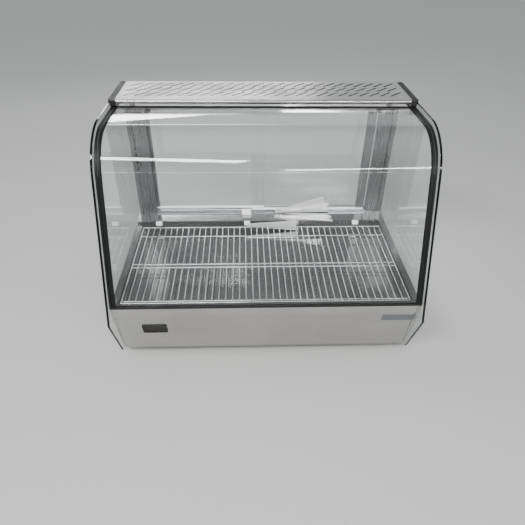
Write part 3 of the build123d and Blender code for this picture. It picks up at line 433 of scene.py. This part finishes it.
trim_polish = polished("trim_polish", (0.78, 0.77, 0.75), 0.05)
trim_low, trim_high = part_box("canopy_front_trim")
BEAD = 0.002
BEAD_DOWN = 0.007
# Widths of the black painted-shadow bands: the gap behind the crown and the band under the lower edge
SHADE_GAP_Y = trim_low[1] + 0.0052
SHADE_BAND_HEIGHT = 0.0034
SHADE_BAND_DEPTH = 0.003
TOP_SKIN = 0.0004
bead_z = trim_high[2] - BEAD_DOWN
hollow = [
    (trim_low[1] + BEAD * math.cos(angle), bead_z + BEAD * math.sin(angle))
    for angle in [math.pi / 2 - math.pi * step / 12 for step in range(13)]
]
trim_face = [
    (trim_high[1], trim_high[2]), (SHADE_GAP_Y, trim_high[2]), (trim_low[1] + 0.0024, trim_high[2]),
    (trim_low[1] + 0.0009, trim_high[2] - 0.0005), (trim_low[1] + 0.0001, trim_high[2] - 0.0018),
    (trim_low[1], bead_z + BEAD + 0.0002),
    *hollow,
    (trim_low[1], bead_z - BEAD - 0.0002), (trim_low[1], trim_low[2] + SHADE_BAND_HEIGHT),
    (trim_low[1], trim_low[2] + 0.0012),
    (trim_low[1] + 0.0004, trim_low[2] + 0.0003), (trim_low[1] + 0.0013, trim_low[2]),
    (trim_high[1], trim_low[2]),
]
trim = drawn_across("front_trim", trim_face, trim_low[0], trim_high[0], trim_polish, 50.0)
# Black rubber on the trim is painted shadow, not a separate sealant or gasket
trim.data.materials.append(black_rubber)
# The dark polish in the rolled hollow is a painted dark reflection
trim.data.materials.append(polished("trim_hollow_painted_reflection", (0.16, 0.155, 0.15), 0.12))
# Faces behind the crown and low on the front get painted shadow; faces in the hollow get the painted dark
# reflection
for face in trim.data.polygons:
    y, z = face.center.y, face.center.z
    shade_gap = y > SHADE_GAP_Y and z > trim_high[2] - TOP_SKIN
    shade_under_trim = z < trim_low[2] + SHADE_BAND_HEIGHT and y < trim_low[1] + SHADE_BAND_DEPTH
    face.material_index = 1 if shade_gap or shade_under_trim else 2 if abs(z - bead_z) < BEAD else 0
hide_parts("canopy_front_trim")
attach(trim, "case")

cap_black = moulded("cap_black", (0.016, 0.016, 0.017), 0.38, 1400.0, 0.0001, (0.06, 0.06, 0.06), 0.3)
dress(cap_black, "left_trim_end_cap", "right_trim_end_cap", arris=0.0008)

# ------------------------------------------------------------------ canopy cover
# Folded brushed-stainless lid over the warm-air space. Three rows of slanted
# slots are punched through it; the fold at each side tucks inside the strips.
def brushed(name, colour, rough, grain, depth=0.00006, patina=0.12):
    """Brushed stainless: short parallel grain along one axis, faint tide marks."""
    material, tree, shader, place = shader_tree(name)
    shader.inputs["Metallic"].default_value = 1.0
    lines = noise_node(tree, place, grain, 1.0, 5.0)
    tide = noise_node(tree, place, (1, 1, 1), 7.0, 5.0)
    grained = ranged(tree, lines, "Fac", 0.3, 0.7, rough - 0.07, rough + 0.09)
    marks = ranged(tree, tide, "Fac", 0.5, 0.75, 0.0, patina)
    total = tree.nodes.new("ShaderNodeMath")
    total.operation = "ADD"
    tone = tree.nodes.new("ShaderNodeMix")
    tone.data_type = "RGBA"
    tone.inputs[6].default_value = (*[part * 0.92 for part in colour], 1)
    tone.inputs[7].default_value = (*colour, 1)
    toned = ranged(tree, lines, "Fac", 0.25, 0.75, 0.0, 1.0)
    raised = tree.nodes.new("ShaderNodeBump")
    raised.inputs["Strength"].default_value = 0.25
    raised.inputs["Distance"].default_value = depth
    wire_up(
        tree,
        (grained, "Result", total, 0), (marks, "Result", total, 1),
        (total, "Value", shader, "Roughness"),
        (toned, "Result", tone, 0), (tone, 2, shader, "Base Color"),
        (lines, "Fac", raised, "Height"), (raised, "Normal", shader, "Normal"),
    )
    return material


def node_tree(name, **sizes):
    """Geometry node tree with named inputs for its sizes and one Geometry output."""
    tree = bpy.data.node_groups.new(name, "GeometryNodeTree")
    tree.interface.new_socket("Geometry", in_out="OUTPUT", socket_type="NodeSocketGeometry")
    for label, value in sizes.items():
        kind = "NodeSocketInt" if isinstance(value, int) else "NodeSocketFloat"
        tree.interface.new_socket(label, in_out="INPUT", socket_type=kind).default_value = value
    return tree, tree.nodes.new("NodeGroupInput"), tree.nodes.new("NodeGroupOutput")


def geometry_node(tree, kind, links=(), **values):
    """Adds a geometry node, sets its inputs and options, and feeds it from links."""
    node = tree.nodes.new("GeometryNode" + kind)
    for label, value in values.items():
        if label in node.bl_rna.properties:
            setattr(node, label, value)
        else:
            node.inputs[label.replace("_", " ")].default_value = value
    for source, output, socket in links:
        tree.links.new(source.outputs[output], node.inputs[socket])
    return node


def grow(name, tree, material, smooth_angle=35.0):
    """Runs a node tree on an empty mesh and keeps the result as a plain mesh piece."""
    seed = bpy.data.objects.new(name + "_seed", bpy.data.meshes.new(name + "_seed"))
    bpy.context.scene.collection.objects.link(seed)
    made = seed.modifiers.new("tree", "NODES")
    made.node_group = tree
    for socket in tree.interface.items_tree:
        if socket.in_out == "INPUT":
            made[socket.identifier] = socket.default_value
    bpy.context.view_layer.update()
    ready = seed.evaluated_get(bpy.context.evaluated_depsgraph_get())
    mesh = bpy.data.meshes.new_from_object(ready)
    mesh.name = name
    bpy.data.objects.remove(seed)
    mesh.materials.clear()
    mesh.materials.append(material)
    mesh.shade_smooth()
    mesh.set_sharp_from_angle(angle=math.radians(smooth_angle))
    piece = bpy.data.objects.new(name, mesh)
    bpy.context.scene.collection.objects.link(piece)
    return piece


cover_low, cover_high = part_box("canopy_top_panel")
cover_grain = brushed("cover_grain", (0.60, 0.60, 0.59), 0.30, (6, 520, 520))
COVER_SHEET = 0.0012
VENT_ROWS = 3
VENT_ROW_PITCH = 0.045
VENT_FIRST_Y = 0.159
VENT_TILT = math.radians(43.5)

cover_tree, cover_in, cover_out = node_tree(
    "punched_cover", Width=cover_high[0] - cover_low[0], Depth=cover_high[1] - cover_low[1],
    Pitch=0.0307, Slots=26, Length=0.051, Height=0.005,
)
sheet_edge = geometry_node(
    cover_tree, "CurvePrimitiveQuadrilateral",
    [(cover_in, "Width", "Width"), (cover_in, "Depth", "Height")],
)
slot_edge = geometry_node(
    cover_tree, "CurvePrimitiveQuadrilateral",
    [(cover_in, "Length", "Width"), (cover_in, "Height", "Height")],
)
slot_round = geometry_node(
    cover_tree, "FilletCurve", [(slot_edge, "Curve", "Curve")],
    mode="POLY", Count=4, Radius=0.0022, Limit_Radius=True,
)
sheet_join = geometry_node(cover_tree, "JoinGeometry", [(sheet_edge, "Curve", "Geometry")])
span = cover_tree.nodes.new("ShaderNodeMath")
span.operation = "MULTIPLY"
fewer = cover_tree.nodes.new("ShaderNodeMath")
fewer.operation = "SUBTRACT"
fewer.inputs[1].default_value = 1.0
wire_up(
    cover_tree, (cover_in, "Slots", fewer, 0), (fewer, "Value", span, 0), (cover_in, "Pitch", span, 1),
)
cover_mid = (cover_low[1] + cover_high[1]) / 2
for row in range(VENT_ROWS):
    slot_row = geometry_node(cover_tree, "CurvePrimitiveLine")
    ends = []
    for share in (-0.5, 0.5):
        half = cover_tree.nodes.new("ShaderNodeMath")
        half.operation = "MULTIPLY"
        half.inputs[1].default_value = share
        spot = cover_tree.nodes.new("ShaderNodeCombineXYZ")
        spot.inputs["Y"].default_value = VENT_FIRST_Y + row * VENT_ROW_PITCH - cover_mid
        wire_up(cover_tree, (span, "Value", half, 0), (half, "Value", spot, "X"))
        ends.append(spot)
    wire_up(cover_tree, (ends[0], 0, slot_row, "Start"), (ends[1], 0, slot_row, "End"))
    stations = geometry_node(
        cover_tree, "CurveToPoints", [(slot_row, "Curve", "Curve"), (cover_in, "Slots", "Count")],
        mode="COUNT",
    )
    punched = geometry_node(
        cover_tree, "InstanceOnPoints",
        [(stations, "Points", "Points"), (slot_round, "Curve", "Instance")],
        Rotation=(0, 0, VENT_TILT),
    )
    wire_up(cover_tree, (punched, "Instances", sheet_join, "Geometry"))
loose = geometry_node(cover_tree, "RealizeInstances", [(sheet_join, "Geometry", "Geometry")])
filled = geometry_node(cover_tree, "FillCurve", [(loose, "Geometry", "Curve")], mode="TRIANGLES")
painted = geometry_node(cover_tree, "SetMaterial", [(filled, "Mesh", "Geometry")], Material=cover_grain)
wire_up(cover_tree, (painted, "Geometry", cover_out, "Geometry"))
cover = grow("vented_cover", cover_tree, cover_grain)

shell = bmesh.new()
shell.from_mesh(cover.data)
bmesh.ops.translate(shell, verts=shell.verts, vec=(0, cover_mid, cover_high[2]))
for face in shell.faces:
    if face.normal.z < 0:
        face.normal_flip()
grown = bmesh.ops.extrude_face_region(shell, geom=shell.faces[:])
lowered = [item for item in grown["geom"] if isinstance(item, bmesh.types.BMVert)]
bmesh.ops.translate(shell, verts=lowered, vec=(0, 0, -COVER_SHEET))
bmesh.ops.recalc_face_normals(shell, faces=shell.faces)
skirt = [
    (cover_low[0], cover_low[0] + COVER_SHEET, cover_low[1], cover_high[1]),
    (cover_high[0] - COVER_SHEET, cover_high[0], cover_low[1], cover_high[1]),
    (cover_low[0] + COVER_SHEET, cover_high[0] - COVER_SHEET, cover_high[1] - COVER_SHEET, cover_high[1]),
]
for x_low, x_high, y_low, y_high in skirt:
    block = bmesh.ops.create_cube(shell, size=1.0)["verts"]
    size = (x_high - x_low, y_high - y_low, cover_high[2] - COVER_SHEET - cover_low[2])
    bmesh.ops.scale(shell, verts=block, vec=size)
    middle = ((x_low + x_high) / 2, (y_low + y_high) / 2, cover_low[2] + size[2] / 2)
    bmesh.ops.translate(shell, verts=block, vec=middle)
shell.to_mesh(cover.data)
shell.free()
cover.data.set_sharp_from_angle(angle=math.radians(35.0))
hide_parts("canopy_top_panel")
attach(cover, "case")

dark_strip = moulded("dark_strip", (0.014, 0.014, 0.015), 0.42, 1400.0, 0.0001, (0.05, 0.05, 0.05), 0.3)
dress(dark_strip, "left_canopy_strip", "right_canopy_strip", arris=0.0008)

# ------------------------------------------------------------------ ceiling and lamp
# Stainless ceiling sheet and folded front rail, with a frosted tube lamp
# clipped between two moulded holders that carry its metal end caps.
plain_grain = brushed("plain_grain", (0.62, 0.62, 0.61), 0.30, (8, 900, 900))
dress(plain_grain, "canopy_ceiling", "canopy_front_rail")
dress(cap_black, "lamp_holders", arris=0.0010)
frosted, frosted_tree, frosted_shader, frosted_place = shader_tree("frosted_tube")
frosted_shader.inputs["Transmission Weight"].default_value = 0.35
frosted_shader.inputs["IOR"].default_value = 1.45
frost = noise_node(frosted_tree, frosted_place, (1, 1, 1), 300.0, 3.0)
frost_rough = ranged(frosted_tree, frost, "Fac", 0.3, 0.7, 0.38, 0.52)
ends_dark = frosted_tree.nodes.new("ShaderNodeSeparateXYZ")
ends_away = frosted_tree.nodes.new("ShaderNodeMath")
ends_away.operation = "ABSOLUTE"
ends_tone = frosted_tree.nodes.new("ShaderNodeMix")
ends_tone.data_type = "RGBA"
ends_tone.inputs[6].default_value = (0.90, 0.91, 0.92, 1)
ends_tone.inputs[7].default_value = (0.48, 0.47, 0.45, 1)
wire_up(
    frosted_tree,
    (frost_rough, "Result", frosted_shader, "Roughness"),
    (frosted_place, "Object", ends_dark, "Vector"), (ends_dark, "X", ends_away, 0),
)
ends_share = ranged(frosted_tree, ends_away, "Value", 0.285, 0.330, 0.0, 1.0)
wire_up(frosted_tree, (ends_share, "Result", ends_tone, 0), (ends_tone, 2, frosted_shader, "Base Color"))
tube_low, tube_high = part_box("lamp_tube")
tube_y = (tube_low[1] + tube_high[1]) / 2
tube_z = (tube_low[2] + tube_high[2]) / 2
tube_radius = (tube_high[2] - tube_low[2]) / 2
ring = [2 * math.pi * step / 40 for step in range(40)]
tube_outline = [(tube_y + tube_radius * math.cos(a), tube_z + tube_radius * math.sin(a)) for a in ring]
tube = drawn_across("lamp_glass", tube_outline, tube_low[0], tube_high[0], frosted)
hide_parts("lamp_tube")
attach(tube, "case")

# ------------------------------------------------------------------ door tracks
# Satin-anodised aluminium extrusions with two grooves each, one on the rear
# ledge and one under the ceiling. Fine draw lines run along them.
drawn_aluminium = brushed("drawn_aluminium", (0.60, 0.62, 0.64), 0.26, (3, 700, 700), 0.00003, 0.08)
dress(drawn_aluminium, "lower_door_track", "upper_door_track", arris=0.0004)

# ------------------------------------------------------------------ rear posts
# Folded stainless channels behind each side pane, with a column of punched
# slots for the shelf brackets. The grain runs up the post.
post_grain = brushed("post_grain", (0.26, 0.26, 0.265), 0.26, (420, 420, 5))
dress(post_grain, "left_rear_post", "right_rear_post")

# ------------------------------------------------------------------ sliding doors
# 4 mm toughened glass in nylon glides, with a satin aluminium grip stile on
# the closing edge of each door.
door_clear = clear_glass("door_glass_clear", (0.975, 0.992, 0.985), (0.35, 0.58, 0.48), "Y", 1.0, 0.0)
stile_metal = brushed("stile_metal", (0.30, 0.305, 0.31), 0.30, (700, 700, 3), 0.00004, 0.08)
nylon = moulded("white_nylon", (0.86, 0.86, 0.84), 0.42, 1200.0, 0.0001, (0.70, 0.68, 0.64), 0.4)
dress(door_clear, "left_door_glass", "right_door_glass", arris=0.0005)
dress(stile_metal, "left_door_stile", "right_door_stile", arris=0.0006)
dress(nylon, "left_door_glides", "right_door_glides", arris=0.0005)
dress(nylon, "door_centre_guide", "rack_stops", arris=0.0010)

# ------------------------------------------------------------------ base casing
# Mirror-polished fascia folded once, and plain brushed sides, floor and rear
# control panel held together by pan-head screws.
fascia_polish = polished("fascia_polish", (0.56, 0.55, 0.535), 0.035, 0.0007, 0.06)
dress(fascia_polish, "front_fascia", arris=0.0006)
dress(plain_grain, "left_base_side", "right_base_side", "base_floor", "rear_control_panel")

screw_steel = polished("screw_steel", (0.70, 0.70, 0.69), 0.20, 0.00005, 0.15)
dress(screw_steel, "rear_panel_screws", arris=0.0003)

# ------------------------------------------------------------------ deck pan
# One folded pan of bright stainless: flanges, stepped well and rear ledge.
# Food trays and the rack have left a little haze on its floor.
pan_polish = polished("pan_polish", (0.42, 0.42, 0.42), 0.09, 0.0004, 0.10)
dress(pan_polish, "deck_pan")

# ------------------------------------------------------------------ wire rack
# Chromed round wires: two frame wires and four cross wires below, with the
# long wires spot-welded over them and cropped flush at the frame wires.
chrome = polished("chromed_wire", (0.88, 0.88, 0.88), 0.07, 0.00002, 0.05)
rack_low, rack_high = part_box("wire_rack")
FRAME_WIRE = 0.0024
CROSS_WIRE = 0.0023
LONG_WIRE = 0.0018
CROSS_PLACES = (-0.217, -0.060, -0.043, 0.114)
rack_half = rack_high[0] - LONG_WIRE
frame_front = rack_low[1] + FRAME_WIRE
frame_rear = rack_high[1] - FRAME_WIRE
long_z = rack_high[2] - FRAME_WIRE
cross_z = rack_low[2] + CROSS_WIRE

rack_tree, rack_in, rack_out = node_tree(
    "wire_rack", Half=rack_half, Front=frame_front, Rear=frame_rear, Long_Z=long_z,
    Wires=43, Long_Radius=LONG_WIRE, Cross_Radius=CROSS_WIRE, Frame_Radius=FRAME_WIRE,
)


def span_line(tree, group_in, along, low, high, fixed, radius_name, sides):
    """Round wire along x or y between two named inputs, at fixed other coordinates."""
    ends = []
    for name, sign in ((low, -1.0 if low == high else 1.0), (high, 1.0)):
        spot = tree.nodes.new("ShaderNodeCombineXYZ")
        signed = tree.nodes.new("ShaderNodeMath")
        signed.operation = "MULTIPLY"
        signed.inputs[1].default_value = sign
        wire_up(tree, (group_in, name, signed, 0), (signed, "Value", spot, along))
        for socket, value in fixed.items():
            if isinstance(value, str):
                wire_up(tree, (group_in, value, spot, socket))
            else:
                spot.inputs[socket].default_value = value
        ends.append(spot)
    line = geometry_node(
        tree, "CurvePrimitiveLine", [(ends[0], 0, "Start"), (ends[1], 0, "End")],
    )
    round_section = geometry_node(
        tree, "CurvePrimitiveCircle", [(group_in, radius_name, "Radius")], Resolution=sides,
    )
    return geometry_node(
        tree, "CurveToMesh", [(line, "Curve", "Curve"), (round_section, "Curve", "Profile Curve")],
        Fill_Caps=True,
    )


rack_parts = geometry_node(rack_tree, "JoinGeometry")
one_wire = span_line(rack_tree, rack_in, "Y", "Front", "Rear", {"Z": "Long_Z"}, "Long_Radius", 14)
row_line = geometry_node(rack_tree, "CurvePrimitiveLine")
for socket, sign in (("Start", -1.0), ("End", 1.0)):
    spot = rack_tree.nodes.new("ShaderNodeCombineXYZ")
    signed = rack_tree.nodes.new("ShaderNodeMath")
    signed.operation = "MULTIPLY"
    signed.inputs[1].default_value = sign
    wire_up(
        rack_tree, (rack_in, "Half", signed, 0), (signed, "Value", spot, "X"), (spot, 0, row_line, socket),
    )
wire_spots = geometry_node(
    rack_tree, "CurveToPoints", [(row_line, "Curve", "Curve"), (rack_in, "Wires", "Count")], mode="COUNT",
)
long_wires = geometry_node(
    rack_tree, "InstanceOnPoints", [(wire_spots, "Points", "Points"), (one_wire, "Mesh", "Instance")],
)
wire_up(rack_tree, (long_wires, "Instances", rack_parts, "Geometry"))
bead = geometry_node(rack_tree, "MeshUVSphere", Segments=8, Rings=5, Radius=0.0021)
for place_y in CROSS_PLACES:
    cross = span_line(
        rack_tree, rack_in, "X", "Half", "Half", {"Y": place_y, "Z": cross_z}, "Cross_Radius", 16,
    )
    wire_up(rack_tree, (cross, "Mesh", rack_parts, "Geometry"))
    lifted = geometry_node(
        rack_tree, "SetPosition", [(wire_spots, "Points", "Geometry")],
        Offset=(0, place_y, (cross_z + CROSS_WIRE + long_z - LONG_WIRE) / 2),
    )
    welds = geometry_node(
        rack_tree, "InstanceOnPoints", [(lifted, "Geometry", "Points"), (bead, "Mesh", "Instance")],
        Scale=(1.0, 1.0, 0.62),
    )
    wire_up(rack_tree, (welds, "Instances", rack_parts, "Geometry"))
for edge in ("Front", "Rear"):
    rail = span_line(
        rack_tree, rack_in, "X", "Half", "Half", {"Y": edge, "Z": "Long_Z"}, "Frame_Radius", 16,
    )
    wire_up(rack_tree, (rail, "Mesh", rack_parts, "Geometry"))
whole_rack = geometry_node(rack_tree, "RealizeInstances", [(rack_parts, "Geometry", "Geometry")])
rack_paint = geometry_node(
    rack_tree, "SetMaterial", [(whole_rack, "Geometry", "Geometry")], Material=chrome,
)
wire_up(rack_tree, (rack_paint, "Geometry", rack_out, "Geometry"))
rack = grow("chromed_rack", rack_tree, chrome, 50.0)
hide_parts("wire_rack")
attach(rack, "rack")

# ------------------------------------------------------------------ shelf brackets
# Loose arms of 2 mm stainless with two hooks at the root and an upturned tip,
# laser cut, with a bright bead-blasted face.
arm_steel = brushed("arm_steel", (0.90, 0.90, 0.89), 0.40, (60, 60, 300), 0.00001, 0.06)
dress(
    arm_steel, "shelf_bracket_1", "shelf_bracket_2", "shelf_bracket_3", "shelf_bracket_4", arris=0.0004,
)

# ------------------------------------------------------------------ heating
# Heat-darkened tubular element under the pan, its clips, the shield below it
# and the terminal block, all inside the closed base.
element_steel = brushed("element_steel", (0.24, 0.22, 0.21), 0.45, (60, 60, 60), 0.00005, 0.2)
shield_steel = brushed("shield_steel", (0.52, 0.53, 0.54), 0.42, (40, 40, 40), 0.00004, 0.2)
dress(element_steel, "heating_element")
dress(shield_steel, "heat_shield", "element_clips")

# ------------------------------------------------------------------ rear controls
# Switch housings, rockers, thermostat with its knob, and the cable inlet, all
# moulded plastic fitted through the rear control panel.
housing_black = moulded(
    "housing_black", (0.020, 0.020, 0.021), 0.36, 1600.0, 0.0001, (0.07, 0.07, 0.07), 0.3
)
red_rocker = moulded("red_rocker", (0.50, 0.020, 0.015), 0.22, 1600.0, 0.00004)
green_rocker = moulded("green_rocker", (0.020, 0.30, 0.06), 0.22, 1600.0, 0.00004)
cream_case = moulded("cream_case", (0.66, 0.64, 0.58), 0.45, 1400.0, 0.0001)
dress(housing_black, "power_switch_housing", "light_switch_housing", "cable_inlet", arris=0.0005)
dress(housing_black, "thermostat_knob", arris=0.0006)
dress(red_rocker, "power_rocker", arris=0.0005)
dress(green_rocker, "light_rocker", arris=0.0005)
dress(cream_case, "thermostat_body", "terminal_block", arris=0.0005)

# ------------------------------------------------------------------ display and badge
# Black moulded bezel clipped into the fascia with a smoked lens, and a plain
# plate without lettering on the right of the fascia.
bezel_black = moulded("bezel_black", (0.014, 0.014, 0.015), 0.30, 1800.0, 0.00008, (0.05, 0.05, 0.05), 0.25)
smoked_lens = moulded("smoked_lens", (0.010, 0.006, 0.006), 0.10, 300.0, 0.00001)
badge_plate = brushed("badge_plate", (0.30, 0.31, 0.33), 0.32, (8, 500, 500), 0.00003)
dress(bezel_black, "display_bezel", arris=0.0006)
dress(smoked_lens, "display_lens", arris=0.0004)
dress(badge_plate, "blank_badge")
